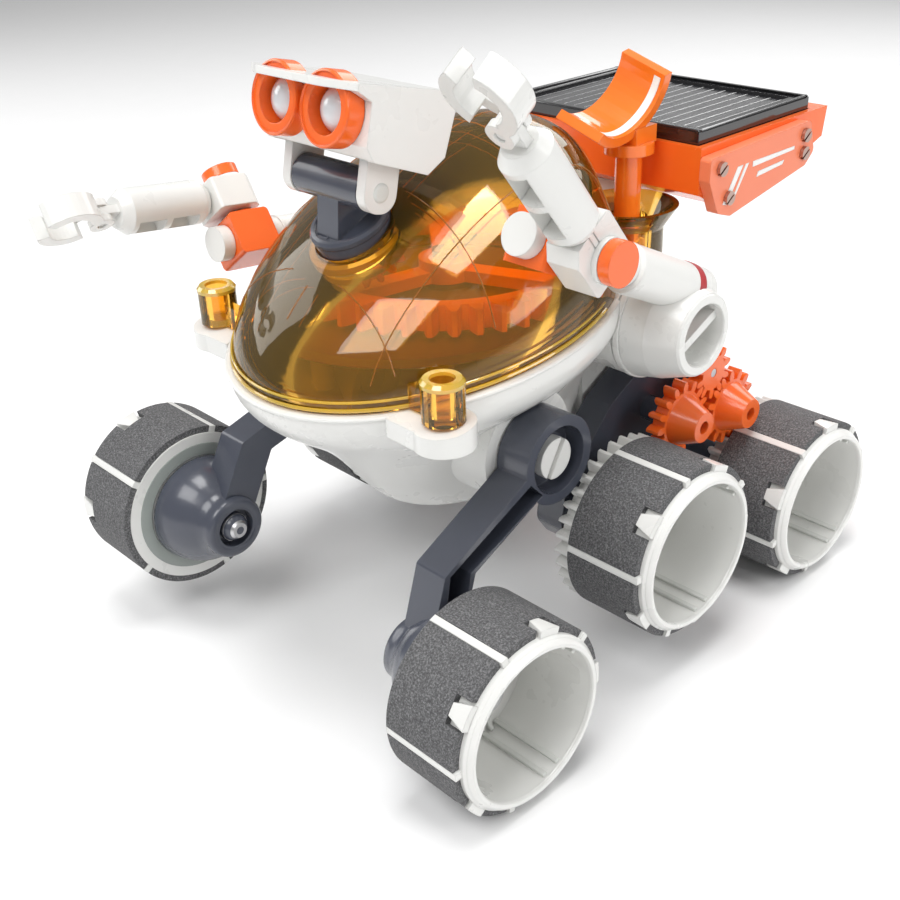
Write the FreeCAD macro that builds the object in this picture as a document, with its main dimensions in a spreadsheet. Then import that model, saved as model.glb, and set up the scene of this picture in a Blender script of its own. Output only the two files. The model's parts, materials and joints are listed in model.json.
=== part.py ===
import FreeCAD, Part
import math
import os

from FreeCAD import Placement, Rotation, Vector

# Solar robot kit: a six-wheeled toy rover. The rover faces -Y, its left side is +X, +Z is up.
# The origin is on the ground, in the middle of the rover's length and on its plane of symmetry.
# Lengths are in millimetres.

doc = FreeCAD.newDocument("SolarRobot")
sheet = doc.addObject("Spreadsheet::Sheet", "size")

DRIVING_SIZES = {
    "origin_shift": -8.35,
    # wheels
    "wheel_radius": 20.0, "wheel_width": 19.4, "foam_depth": 1.6, "drum_wall": 2.2,
    "rib_width": 1.6, "tread_segments": 5, "axle_radius": 1.5, "bore_gap": 0.05,
    "front_wheel_inner": 42.5, "rear_wheel_inner": 38.4,
    # gear train of each bogie
    "gear_module": 1.1, "wheel_teeth": 34, "idler_teeth": 15, "pinion_teeth": 10,
    "wheelbase": 52.7, "bogie_tilt": 10.65, "idler_half_spacing": 9.6,
    "mid_axle_y": 9.35, "mid_axle_z": 29.75,
    "gear_inner": 34.8, "gear_face": 3.3, "stub_radius": 3.4, "shaft_radius": 1.0,
    # hull and dome
    "rim_tilt": 8.0, "rim_y": -7.0, "rim_z": 79.0,
    "dome_wall": 1.6, "hull_wall": 2.0,
    # big ring gear and its motor
    "ring_module": 1.5, "ring_teeth": 44, "ring_pinion_teeth": 8, "ring_y": -7.0, "ring_z": 83.6,
    "ring_face": 5.4, "ring_bore": 28.4,
    # front arms
    "pivot_y": -11.4, "pivot_z": 53.2, "pivot_radius": 3.6, "front_arm_inner": 28.6,
    "front_arm_width": 8.4,
    # head
    "turret_y": -32.4, "turret_z": 101.8, "turret_tilt": 25.0, "disc_radius": 8.3,
    "neck_y": -34.5, "neck_z": 110.6, "neck_half_width": 9.8, "head_pitch": 13.0, "head_half_width": 16.0,
    # robot arms
    "lug_bore": 2.4, "spindle_radius": 3.0, "stem_radius": 3.0,
    "neck_radius": 3.0, "claw_pin_radius": 1.0,
    "shoulder_x": 41.0, "right_shoulder_out": 4.5, "shoulder_y": 21.0, "shoulder_z": 74.0, "arm_offset": 8.5,
    "elbow_reach": 49.0, "arm_radius": 4.0, "spigot_radius": 2.2, "elbow_pin_radius": 1.8,
    "forearm_middle": 10.6, "forearm_radius": 5.0, "claw_reach": 34.4,
    # antenna and solar tray
    "antenna_x": 16.0, "antenna_y": 34.6, "tray_half_width": 31.0, "tray_front": 40.6,
    "tray_rear": 90.0, "tray_top": 106.5,
}
for row, (alias, number) in enumerate(DRIVING_SIZES.items(), start=1):
    sheet.set("A%d" % row, alias)
    sheet.set("B%d" % row, repr(number))
    sheet.setAlias("B%d" % row, alias)
doc.recompute()


def val(alias):
    return float(sheet.get(alias))


# Turning a piece drawn in X-Y so that its own X, Y, Z lie along the rover's Y, Z, X.
TO_SIDE = Rotation(Vector(1, 1, 1), 120)
UPRIGHT = Rotation()
ALONG_Y = Rotation(Vector(1, 0, 0), -90)
nodes = []


def shown(obj, label, place=None):
    """Make an object a sub-part: give it its name and put it in the rover's frame."""
    frame = Placement(Vector(0, val("origin_shift"), 0), UPRIGHT)
    obj.Placement = frame.multiply(place or Placement()).multiply(obj.Placement)
    obj.Label = label
    nodes.append(obj)
    return obj


def bind(obj, **expressions):
    for prop, expression in expressions.items():
        if isinstance(expression, str):
            obj.setExpression(prop, expression)
        else:
            setattr(obj, prop, expression)
    return obj


def rod(radius, length, at=(0, 0, 0), turn=UPRIGHT, name="Rod"):
    """A cylinder from its base point along its own Z."""
    obj = bind(doc.addObject("Part::Cylinder", name), Radius=radius, Height=length)
    obj.Placement = Placement(Vector(*at), turn)
    return obj


def side_rod(radius, start_x, end_x, at, name="SideRod"):
    """A cylinder along X between two stations, centred on at = (y, z)."""
    low, high = sorted((start_x, end_x))
    return rod(radius, high - low, (low, at[0], at[1]), TO_SIDE, name)


def cone(radius_1, radius_2, length, at=(0, 0, 0), turn=UPRIGHT):
    obj = bind(doc.addObject("Part::Cone", "Cone"), Radius1=radius_1, Radius2=radius_2, Height=length)
    obj.Placement = Placement(Vector(*at), turn)
    return obj


def block(low, high, name="Block"):
    obj = doc.addObject("Part::Box", name)
    bind(obj, Length=high[0] - low[0], Width=high[1] - low[1], Height=high[2] - low[2])
    obj.Placement = Placement(Vector(*low), UPRIGHT)
    return obj


def fuse(*shapes):
    obj = doc.addObject("Part::MultiFuse", "Joined")
    obj.Shapes = list(shapes)
    return obj


def cut(base, *tools):
    obj = doc.addObject("Part::Cut", "Cut")
    obj.Base = base
    obj.Tool = tools[0] if len(tools) == 1 else fuse(*tools)
    return obj


def common(first, second):
    obj = doc.addObject("Part::Common", "Shared")
    obj.Base = first
    obj.Tool = second
    return obj


def rounded_outline(corners):
    """Sketch geometry of a closed outline; a corner is (u, v) or (u, v, radius)."""
    count = len(corners)
    ends = []
    for index, corner in enumerate(corners):
        here = Vector(corner[0], corner[1], 0)
        radius = corner[2] if len(corner) > 2 else 0
        to_last = (Vector(*corners[index - 1][:2], 0) - here).normalize()
        to_next = (Vector(*corners[(index + 1) % count][:2], 0) - here).normalize()
        if radius == 0:
            ends.append((here, None, here))
            continue
        half = to_last.getAngle(to_next) / 2
        reach = radius / math.tan(half)
        middle = here + (to_last + to_next).normalize() * (radius / math.sin(half) - radius)
        ends.append((here + to_last * reach, middle, here + to_next * reach))
    geometry = []
    for index, (start, middle, end) in enumerate(ends):
        if middle is not None:
            geometry.append(Part.Arc(start, middle, end))
        following = ends[(index + 1) % count][0]
        if end.distanceToPoint(following) > 1e-6:
            geometry.append(Part.LineSegment(end, following))
    return geometry


def plate(corners, length, at=(0, 0, 0), turn=UPRIGHT, name="Plate"):
    """A padded sketch: the outline lies in the body's X-Y plane, the pad along its +Z."""
    body = doc.addObject("PartDesign::Body", name)
    sketch = body.newObject("Sketcher::SketchObject", name + "Sketch")
    flat = [f for f in body.Origin.OriginFeatures if f.Role == "XY_Plane"][0]
    sketch.AttachmentSupport = [(flat, "")]
    sketch.MapMode = "FlatFace"
    sketch.addGeometry(rounded_outline(corners), False)
    pad = body.newObject("PartDesign::Pad", name + "Pad")
    pad.Profile = sketch
    bind(pad, Length=length)
    body.Placement = Placement(Vector(*at), turn)
    return body


def side_plate(corners, start_x, end_x, name="SidePlate"):
    """A plate whose outline is in (y, z), standing between two X stations."""
    low, high = sorted((start_x, end_x))
    return plate(corners, high - low, (low, 0, 0), TO_SIDE, name)


def gear_blank(teeth, module, face, phase, backlash=0.14, root=1.25):
    """An involute spur gear standing on X-Y, with a tooth centred at angle phase (degrees)."""
    pressure = math.radians(20)
    pitch_radius = module * teeth / 2
    base_radius = pitch_radius * math.cos(pressure)
    tip_radius = pitch_radius + module * 0.92
    root_radius = pitch_radius - module * root
    half_tooth = math.pi / (2 * teeth) - backlash / (2 * pitch_radius)
    roll_to_pitch = math.tan(pressure) - pressure
    first_radius = max(base_radius, root_radius)

    def flank(radius):
        roll = math.sqrt(max((radius / base_radius) ** 2 - 1, 0))
        return half_tooth + roll_to_pitch - (roll - math.atan(roll))

    def spot(radius, angle):
        return Vector(radius * math.cos(angle), radius * math.sin(angle), 0)

    radii = [first_radius + (tip_radius - first_radius) * k / 3 for k in range(4)]
    points = []
    for tooth in range(teeth):
        centre = math.radians(phase) + 2 * math.pi * tooth / teeth
        rising = [(r, centre - flank(r)) for r in radii]
        falling = [(r, centre + flank(r)) for r in reversed(radii)]
        if first_radius > root_radius:
            rising.insert(0, (root_radius, rising[0][1]))
            falling.append((root_radius, falling[-1][1]))
        points += [spot(r, a) for r, a in rising + falling]
    wire = Part.makePolygon(points + [points[0]])
    blank = doc.addObject("Part::Feature", "GearBlank")
    blank.Shape = Part.Face(wire).extrude(Vector(0, 0, face))
    return blank


def mesh_phase(centre_1, teeth_1, phase_1, centre_2, teeth_2):
    """The phase that puts gear 2 in mesh with gear 1; centres are (u, v) in one plane."""
    bearing = math.degrees(math.atan2(centre_2[1] - centre_1[1], centre_2[0] - centre_1[0]))
    pitch_1, pitch_2 = 360 / teeth_1, 360 / teeth_2
    offset = ((bearing - phase_1) / pitch_1) % 1
    return bearing + 180 - (0.5 - offset) * pitch_2


# ---------------------------------------------------------------- places in the gear trains
tilt = math.radians(val("bogie_tilt"))
mid_axle = (val("mid_axle_y"), val("mid_axle_z"))


def on_bogie(along, above):
    """A point of the bogie, measured from the mid axle along and above the line of axles."""
    return (mid_axle[0] + along * math.cos(tilt) + above * math.sin(tilt),
            mid_axle[1] - along * math.sin(tilt) + above * math.cos(tilt))


module = val("gear_module")
wheel_pitch = module * val("wheel_teeth") / 2
idler_pitch = module * val("idler_teeth") / 2
pinion_pitch = module * val("pinion_teeth") / 2
half_base = val("wheelbase") / 2
idler_rise = math.sqrt((wheel_pitch + idler_pitch) ** 2 - (half_base - val("idler_half_spacing")) ** 2)
pinion_rise = idler_rise + math.sqrt((idler_pitch + pinion_pitch) ** 2 - val("idler_half_spacing") ** 2)
rear_axle = on_bogie(val("wheelbase"), 0)
front_idler = on_bogie(half_base - val("idler_half_spacing"), idler_rise)
rear_idler = on_bogie(half_base + val("idler_half_spacing"), idler_rise)
drive_axis = on_bogie(half_base, pinion_rise)

teeth = {name: int(val(name + "_teeth")) for name in ("wheel", "idler", "pinion")}
phase = {"mid": 0.0}
phase["front_idler"] = mesh_phase(mid_axle, teeth["wheel"], phase["mid"], front_idler, teeth["idler"])
phase["pinion"] = mesh_phase(front_idler, teeth["idler"], phase["front_idler"], drive_axis, teeth["pinion"])
phase["rear_idler"] = mesh_phase(drive_axis, teeth["pinion"], phase["pinion"], rear_idler, teeth["idler"])
phase["rear"] = mesh_phase(rear_idler, teeth["idler"], phase["rear_idler"], rear_axle, teeth["wheel"])


# ---------------------------------------------------------------- wheels
def wheel(name, side, inner_x, axle, gear_phase=None, turned=0.0):
    """A hollow drum open outwards, with ribs through the foam, and its foam treads."""
    radius, width, foam = val("wheel_radius"), val("wheel_width"), val("foam_depth")
    count = int(val("tread_segments"))
    drum_radius = radius - foam
    outer_x = inner_x + width
    drum = side_rod("size.wheel_radius - size.foam_depth", side * inner_x, side * outer_x, axle)
    hollow = side_rod("size.wheel_radius - size.foam_depth - size.drum_wall",
                      side * (inner_x + 2.2), side * (outer_x + 1), axle)
    lip = cone(drum_radius, drum_radius - 0.9, 1.2,
               (side * (outer_x - 0.01), *axle), Rotation(Vector(0, 0, 1), Vector(side, 0, 0)))
    lip_bore = side_rod(drum_radius - val("drum_wall"), side * (outer_x - 1), side * (outer_x + 2), axle)
    hub = side_rod("size.axle_radius + 2", side * inner_x, side * (inner_x + 7), axle)
    ribs, gaps = [], []
    for index in range(count):
        angle = turned + index * 360 / count
        spin = Rotation(Vector(1, 0, 0), angle)
        for half_width, collection in ((val("rib_width") / 2, ribs), (val("rib_width") / 2 + 0.12, gaps)):
            bar = block((0, 0, 0), (width - 0.4, 2 * half_width, foam + 0.6))
            shift = Placement(Vector(min(side * (inner_x + 0.2), side * (outer_x - 0.2)), *axle), spin)
            low = Placement(Vector(0, -half_width, drum_radius - 0.4), UPRIGHT)
            bar.Placement = shift.multiply(low)
            collection.append(bar)
        notch = plate([(-2.6, 0), (2.6, 0), (1.3, 4.2), (-1.3, 4.2)], foam + 0.3)
        flat = Rotation(Vector(0, 1, 0), Vector(-side, 0, 0))
        lift = Placement(Vector(0, 0, drum_radius - 0.2), flat)
        turn = Rotation(Vector(1, 0, 0), angle + 180 / count)
        notch.Placement = Placement(Vector(side * (outer_x - 0.2), *axle), turn).multiply(lift)
        ribs.append(notch)
        wide = block((-3.0, -3.0, 0), (3.0, 3.0, foam + 1))
        corner = Placement(Vector(-3.0, -3.0, drum_radius - 0.4), UPRIGHT)
        wide.Placement = Placement(Vector(side * (outer_x - 1.5), *axle), turn).multiply(corner)
        gaps.append(wide)
    envelope = side_rod("size.wheel_radius - 0.05", side * (inner_x + 0.2), side * (outer_x - 0.2), axle)
    raised = common(fuse(*ribs), envelope)
    solids = [cut(fuse(drum, lip), hollow, lip_bore), hub, raised]
    if gear_phase is not None:
        face = val("rear_wheel_inner") - val("gear_inner") + 0.3
        band = gear_blank(teeth["wheel"], module, face, gear_phase)
        start = val("gear_inner") if side > 0 else -val("rear_wheel_inner") - 0.3
        band.Placement = Placement(Vector(start, *axle), TO_SIDE)
        relief = side_rod(drum_radius - 3.4, side * (val("gear_inner") - 1), side * inner_x, axle)
        solids.append(cut(band, relief))
    bore = side_rod("size.axle_radius + size.bore_gap", side * (inner_x - 6), side * (inner_x + 9), axle)
    shown(cut(fuse(*solids), bore), name + "_wheel")
    band = side_rod("size.wheel_radius", side * (inner_x + 0.3), side * (outer_x - 0.9), axle)
    inside = side_rod("size.wheel_radius - size.foam_depth", side * (inner_x - 1), side * (outer_x + 1), axle)
    shown(cut(band, inside, *gaps), name + "_treads")


# ---------------------------------------------------------------- front arms
def front_arm(name, side, wheel_at):
    """A channel-section arm from its pivot ring to the wheel's hub dome."""
    pivot = (val("pivot_y"), val("pivot_z"))
    inner, width = val("front_arm_inner"), val("front_arm_width")
    outer = inner + width
    dy, dz = wheel_at[0] - pivot[0], wheel_at[1] - pivot[1]
    angle = math.atan2(dz, dy)
    length = math.hypot(dy, dz)

    def local(along, across):
        """From the pivot towards the wheel, and square to that line on its upper side."""
        return (pivot[0] + along * math.cos(angle) + across * math.sin(angle),
                pivot[1] + along * math.sin(angle) - across * math.cos(angle))

    knee, half = (0.66 * length, 9.6), 3.9
    outline = [local(5, half + 1.5), local(knee[0] + 1, knee[1] + half) + (1.0,),
               local(length + 3.6, half - 1) + (1.0,), local(length - 2.5, -half) + (0.8,),
               local(knee[0] - 3, knee[1] - half) + (1.0,), local(4, -half + 1.5)]
    web = side_plate(outline, side * inner, side * outer, "ArmWeb")
    inset = 1.3
    channel = [local(8, half + 1.5 - inset), local(knee[0] + 0.4, knee[1] + half - inset),
               local(length - 2, half - 1 - inset), local(length - 5, -half + inset),
               local(knee[0] - 2.4, knee[1] - half + inset), local(8, -half + 1.5 + inset)]
    trough = side_plate(channel, side * (inner + 1.6), side * (outer + 1), "ArmTrough")
    ring = side_rod(10.0, side * inner, side * outer, pivot)
    dish = side_rod(7.6, side * (inner + 3.4), side * (outer + 1), pivot)
    boss = side_rod(5.2, side * inner, side * (inner + 4.8), pivot)
    dome_start = val("front_wheel_inner") - 0.4
    base = side_rod(12.6, side * (dome_start - 1.6), side * dome_start, wheel_at)
    bell = cone(12.6, 7.0, 10.5, (side * (dome_start - 1.6), *wheel_at),
                Rotation(Vector(0, 0, 1), Vector(-side, 0, 0)))
    nose = side_rod(7.0, side * (dome_start - 15), side * (dome_start - 12), wheel_at)
    cup = side_rod(4.6, side * (dome_start - 16), side * (dome_start - 12.4), wheel_at)
    bore = side_rod("size.axle_radius", side * (dome_start - 20), side * (dome_start + 1), wheel_at)
    pin_hole = side_rod("size.pivot_radius + size.bore_gap", side * (inner - 1), side * (outer + 1), pivot)
    arm_solid = cut(fuse(cut(fuse(web, ring), trough, dish), boss), pin_hole)
    shown(cut(fuse(arm_solid, base, bell, nose), cup, bore), name + "_front_arm")
    # the axle: its domed end sits in the nose, its clip holds the wheel on
    shaft = side_rod("size.axle_radius", side * (dome_start - 13), side * (dome_start + 9.4), wheel_at)
    collar = side_rod(3.4, side * (dome_start - 14.4), side * (dome_start - 12.4), wheel_at)
    tip = cone(3.4, 1.8, 2.2, (side * (dome_start - 14.35), *wheel_at),
               Rotation(Vector(0, 0, 1), Vector(-side, 0, 0)))
    clip = side_rod(3.2, side * (dome_start + 7.8), side * (dome_start + 9.4), wheel_at)
    shown(fuse(shaft, collar, tip, clip), name + "_front_axle")
    # the off-white pin that the arm turns on, with a slotted head
    shank = side_rod("size.pivot_radius", side * (inner - 6), side * (inner + 5), pivot)
    head = side_rod(4.6, side * (inner + 4.95), side * (inner + 7.4), pivot)
    slot = block((-1, -5, -0.7), (1, 5, 0.7))
    across = Placement(Vector(side * (inner + 7.4), *pivot), Rotation(Vector(1, 0, 0), 60))
    slot.Placement = across.multiply(slot.Placement)
    shown(cut(fuse(shank, head), slot), name + "_pivot_pin")


# ---------------------------------------------------------------- bogies with their gears
def bogie(name, side):
    inner, skin = 20.5, 28.0
    gear_in = val("gear_inner")
    outline = [on_bogie(-9.5, -4) + (4.0,), on_bogie(-4, -9.3) + (5.0,), on_bogie(60, -7.5) + (6.0,),
               on_bogie(61, 4) + (6.0,), on_bogie(40, pinion_rise + 4) + (4.0,),
               on_bogie(13, pinion_rise + 1.5) + (1.5,), on_bogie(2.5, pinion_rise - 7) + (1.5,),
               on_bogie(-9.5, 6) + (4.0,)]
    case = side_plate(outline, side * inner, side * skin, "BogieCase")
    tube = side_rod(4.4, side * inner, side * (gear_in - 0.4), drive_axis)
    solids = [case, tube]
    for axle, reach in ((mid_axle, 46.8), (rear_axle, 46.8)):
        solids.append(side_rod("size.axle_radius", side * (skin - 2), side * reach, axle))
        solids.append(side_rod(4.0, side * (skin - 2), side * (gear_in + 3.2), axle))
    for axle in (front_idler, rear_idler):
        solids.append(side_rod("size.axle_radius", side * (skin - 2), side * (gear_in + 7.2), axle))
        solids.append(side_rod(3.0, side * (skin - 2), side * (gear_in - 0.3), axle))
    bearing = side_rod("size.stub_radius + size.bore_gap", side * (inner - 2), side * skin, drive_axis)
    tunnel = side_rod(1.3, side * (inner - 2), side * (gear_in + 8), drive_axis)
    shown(cut(fuse(*solids), bearing, tunnel), name + "_bogie_frame")
    for label, axle in (("front_idler", front_idler), ("rear_idler", rear_idler)):
        blank = gear_blank(teeth["idler"], module, val("gear_face"), phase[label])
        start = gear_in if side > 0 else -gear_in - val("gear_face")
        blank.Placement = Placement(Vector(start, *axle), TO_SIDE)
        nose = cone(6.2, 3.6, 6.2, (side * (gear_in + val("gear_face") - 0.2), *axle),
                    Rotation(Vector(0, 0, 1), Vector(side, 0, 0)))
        bore = side_rod("size.axle_radius + size.bore_gap", side * (gear_in - 1), side * (gear_in + 12), axle)
        shown(cut(fuse(blank, nose), bore), name + "_" + label)
    blank = gear_blank(teeth["pinion"], module, val("gear_face"), phase["pinion"], root=1.1)
    start = gear_in if side > 0 else -gear_in - val("gear_face")
    blank.Placement = Placement(Vector(start, *drive_axis), TO_SIDE)
    bore = side_rod(1.05, side * (gear_in - 1), side * (gear_in + 5), drive_axis)
    shown(cut(blank, bore), name + "_drive_pinion")


# ---------------------------------------------------------------- hull, dome and what is inside
rim = Placement(Vector(0, val("rim_y"), val("rim_z")), Rotation(Vector(1, 0, 0), val("rim_tilt")))


def egg_loft(sections, name):
    """A solid through ellipses in the rim's frame: each is (height, half width, half length, centre y)."""
    rings = []
    for height, half_width, half_length, centre in sections:
        ring = doc.addObject("Part::Ellipse", name + "Section")
        bind(ring, MajorRadius=half_length, MinorRadius=half_width)
        ring.Placement = Placement(Vector(0, centre, height), Rotation(Vector(0, 0, 1), 90))
        rings.append(ring)
    loft = doc.addObject("Part::Loft", name)
    loft.Sections = rings
    bind(loft, Solid=True, Ruled=False)
    loft.Placement = rim
    return loft


wall = val("hull_wall")
HULL_SECTIONS = [(0, 39.2, 47.2, -5.4), (-7, 37.8, 45.8, -5.2), (-14, 31, 42, -2.5),
                 (-27, 22, 35, 1), (-44, 15, 23, 5)]
HULL_HOLLOW = [(1, 39.2 - wall, 47.2 - wall, -5.4), (-7, 37.8 - wall, 45.8 - wall, -5.2),
               (-14, 31 - wall, 42 - wall, -2.5), (-27, 22 - wall, 35 - wall, 1), (-38, 15, 24, 4)]
post_places = [(side * 36.2, -42.7) for side in (1, -1)]
shoulder = (val("shoulder_y"), val("shoulder_z"))
pod_out = {1: 0.0, -1: val("right_shoulder_out")}
pivot = (val("pivot_y"), val("pivot_z"))
antenna = (val("antenna_x"), val("antenna_y"))
MAST_OUTLINE = [(30, 60), (43, 60), (60, 91), (60, 95.4), (47.5, 95.4)]
HOUSING_OUTLINE = [(16, 45, 4), (37, 45, 5), (49.5, 50, 4), (49.5, 64, 4), (42, 72, 4), (16, 72)]


def lower_hull():
    """The white boat-shaped shell with its lugs, shoulder pods, pivot bosses, column and mast."""
    cup_ways = [side_rod(13.1, side * (33.7 + pod_out[side]), side * 60, shoulder) for side in (1, -1)]
    shell = cut(egg_loft(HULL_SECTIONS, "HullOuter"), egg_loft(HULL_HOLLOW, "HullHollow"), *cup_ways)
    ears = []
    for x, y in post_places:
        ears.append(rod(6.2, 5.0, (x, y, 69.2)))
        ears.append(plate([(x * 0.72, y - 5.6), (x, y - 5.8), (x, y + 5.8), (x * 0.84, y + 12)], 5.0,
                          (0, 0, 69.2)))
    pods = [side_rod(12.8, side * 20, side * (33.6 + pod_out[side]), shoulder) for side in (1, -1)]
    pod_stubs = [side_rod(6.0, side * 33.5, side * (36.0 + pod_out[side]), shoulder) for side in (1, -1)]
    bosses = [side_rod(13.0, side * 15, side * 28.2, pivot) for side in (1, -1)]
    bearings = [side_rod("size.stub_radius", side * 19, side * 27.6, drive_axis) for side in (1, -1)]
    housing = side_plate(HOUSING_OUTLINE, -19.4, 19.4, "Housing")
    mast = side_plate(MAST_OUTLINE, -6, 6, "Mast")
    gear_house = block((-10, 24, 60), (10, 43, 91.4))
    column = rod(8.4, 22.0, (*antenna, 60.0))
    belly = block((-9, -12, 32.0), (9, 22, 38.0))
    deck_posts = [rod(2.6, DECK_Z - 58.05, (side * 20, -28, 58)) for side in (1, -1)]
    deck_posts += [rod(2.6, DECK_Z - 70.05, (side * 13, 20, 70)) for side in (1, -1)]
    solid = fuse(shell, *ears, *pods, *pod_stubs, *bosses, *bearings, housing, mast, gear_house, column,
                 belly)
    pod_hollows = [side_rod(10.8, side * 21.5, side * (31.6 + pod_out[side]), shoulder) for side in (1, -1)]
    boss_hollows = [side_rod(10.8, side * 13, side * 24.6, pivot) for side in (1, -1)]
    housing_hollow = side_plate([(24, 47.5, 2), (37, 47.5, 3), (47.2, 51.5, 3), (47.2, 63, 3), (41, 69, 3),
                                 (24, 69)], -17.4, 17.4, "HousingHollow")
    gear_room = block((-8.2, 20, DECK_Z - 2.0), (8.2, 40.2, 90.0))
    motor_pocket = rod(4.1, 20.0, (*motor_at, 65.4))
    column_bore = rod(6.4, 21.0, (*antenna, 62.0))
    above_rim = rod(60, 60)
    above_rim.Placement = rim
    keep = [rod(8.4, 40, (*antenna, 70.0)), side_plate(MAST_OUTLINE, -6, 6, "MastKeep"),
            block((-10, 29.5, 70), (10, 43, 92)), side_rod(12.8, -33.6 - pod_out[-1], -26.0, shoulder),
            side_rod(12.8, 26.0, 33.6, shoulder)]
    open_top = cut(above_rim, *keep)
    ring_way = rod(35.2, 7.6, (*ring_centre, 82.5))
    antenna_way = fuse(rod(8.7, 6.2, (*antenna, 81.9)), cone(8.7, 12.2, 5.6, (*antenna, 87.7)))
    arm_ways = [side_rod(10.5, side * 28.25, side * 40, pivot) for side in (1, -1)]
    shaft_way = side_rod("size.shaft_radius + size.bore_gap", -29, 29, drive_axis)
    pin_way = side_rod("size.pivot_radius", -29, 29, pivot)
    hollows = [*pod_hollows, *boss_hollows, housing_hollow, gear_room, motor_pocket, column_bore, open_top]
    ways = [ring_way, antenna_way, *arm_ways, shaft_way, pin_way]
    shown(fuse(cut(solid, *hollows, *ways), *deck_posts), "lower_hull")


def dome():
    """The amber shell, with its lug posts, the turret collar and the cup that holds the antenna."""
    skin = val("dome_wall")
    levels = [(0.05, 37.8, 45.6, -5.4), (10, 37.0, 42.5, -3.0), (20, 32.3, 34.3, 2.3), (28, 24.0, 24.6, 8.8),
              (33, 13.6, 13.8, 12.0), (35.3, 3.8, 4.0, 13.2)]
    inside = [(h - 0.75 * skin, a - skin, b - skin, y) for h, a, b, y in levels]
    inside[0] = (-1.0,) + inside[0][1:]
    inside[-1] = (35.3 - skin, 2.6, 2.8, 13.2)
    shell = cut(egg_loft(levels, "DomeOuter"), egg_loft(inside, "DomeInner"))
    posts, bores = [], []
    for x, y in post_places:
        posts.append(rod(4.2, 7.8, (x, y, 74.3)))
        posts.append(plate([(x * 0.77, y - 1.2), (x, y - 1.2), (x, y + 1.2), (x * 0.78, y + 1.2)], 5.0,
                           (0, 0, 74.3)))
        bores.append(rod("size.lug_bore", 8, (x, y, 75.1)))
    collar = rod(10.2, 3.6, name="Collar")
    collar.Placement = turret_frame.multiply(Placement(Vector(0, 0, -7.0), UPRIGHT))
    turret_bore = rod("size.spindle_radius + size.bore_gap", 30, name="TurretBore")
    turret_bore.Placement = turret_frame.multiply(Placement(Vector(0, 0, -14), UPRIGHT))
    disc_way = rod("size.disc_radius + 0.4", 12, name="DiscWay")
    disc_way.Placement = turret_frame.multiply(Placement(Vector(0, 0, -3.4), UPRIGHT))
    cup = fuse(rod(8.4, 6.0, (*antenna, 82.1)), cone(8.4, 11.6, 5.0, (*antenna, 88.0)))
    cup_hollow = fuse(rod(7.2, 5.0, (*antenna, 84.0)), cone(7.2, 10.5, 5.2, (*antenna, 88.0)))
    socket = rod(4.6, 8.0, (*antenna, 82.2))
    socket_bore = rod("size.stem_radius + size.bore_gap", 12.0, (*antenna, 83.6))
    pod_ways = [side_rod(13.1, side * 19.6, side * 42, shoulder) for side in (1, -1)]
    column_way = rod(8.7, 12.1, (*antenna, 70.0))
    house_way = block((-10.3, 23.7, 60), (10.3, 62, 93))
    body = fuse(cut(shell, cup_hollow, column_way, house_way, *pod_ways), *posts, cup, collar)
    shown(cut(fuse(cut(body, cup_hollow, *bores, disc_way), socket), socket_bore, turret_bore), "dome")


def ring_drive():
    """The deck, the motor under it, its pinion and the big ring gear that it turns."""
    ring_z, face = val("ring_z"), val("ring_face")
    deck_edge = egg_loft([(-9, 33.5, 40.5, -5), (-3, 35.2, 42.8, -5.4), (4, 35.4, 42.4, -4.6),
                          (10, 34.4, 39.4, -3.2), (14, 32.6, 36, -1.5)], "DeckEdge")
    deck_plate = common(rod(60, 1.6, (0, 0, DECK_Z)), deck_edge)
    spindle = rod(3.0, 8.2, (*ring_centre, DECK_Z + 1))
    rest = rod(5.6, 1.25, (*ring_centre, DECK_Z + 1.55))
    deck = cut(fuse(deck_plate, spindle, rest), block((-10.3, 23.7, DECK_Z - 2), (10.3, 62, DECK_Z + 3)),
               rod(9.0, 5, (*antenna, DECK_Z - 2)), side_rod(13.1, -42, -19.6, shoulder),
               side_rod(13.1, 19.6, 42, shoulder))
    shown(deck, "deck")
    can = rod(4.0, 15.0, (*motor_at, 65.5), name="MotorCan")
    nose = rod(2.0, 1.4, (*motor_at, 80.4))
    shown(cut(fuse(can, nose), rod(1.05, 5, (*motor_at, 78))), "motor")
    count = int(val("ring_pinion_teeth"))
    pinion_phase = mesh_phase(ring_centre, int(val("ring_teeth")), 0.0, motor_at, count)
    pinion = gear_blank(count, val("ring_module"), face - 0.5, pinion_phase, root=1.0)
    pinion.Placement = Placement(Vector(*motor_at, ring_z), UPRIGHT)
    shown(fuse(pinion, rod(1.0, ring_z - 79.0, (*motor_at, 79.2))), "motor_pinion")
    blank = gear_blank(int(val("ring_teeth")), val("ring_module"), face, 0.0)
    blank.Placement = Placement(Vector(*ring_centre, ring_z), UPRIGHT)
    opening = rod("size.ring_bore", 8, (*ring_centre, ring_z - 1))
    spokes = []
    for index in range(3):
        spoke = block((0, -2.4, 0), (29.4, 2.4, 2.6))
        turn = Placement(Vector(*ring_centre, ring_z), Rotation(Vector(0, 0, 1), 20 + 120 * index))
        spoke.Placement = turn.multiply(spoke.Placement)
        spokes.append(spoke)
    hub = rod(6.0, 4.6, (*ring_centre, ring_z))
    bore = rod(3.05, 12, (*ring_centre, ring_z - 1))
    shown(cut(fuse(cut(blank, opening), *spokes, hub), bore), "ring_gear")


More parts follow.
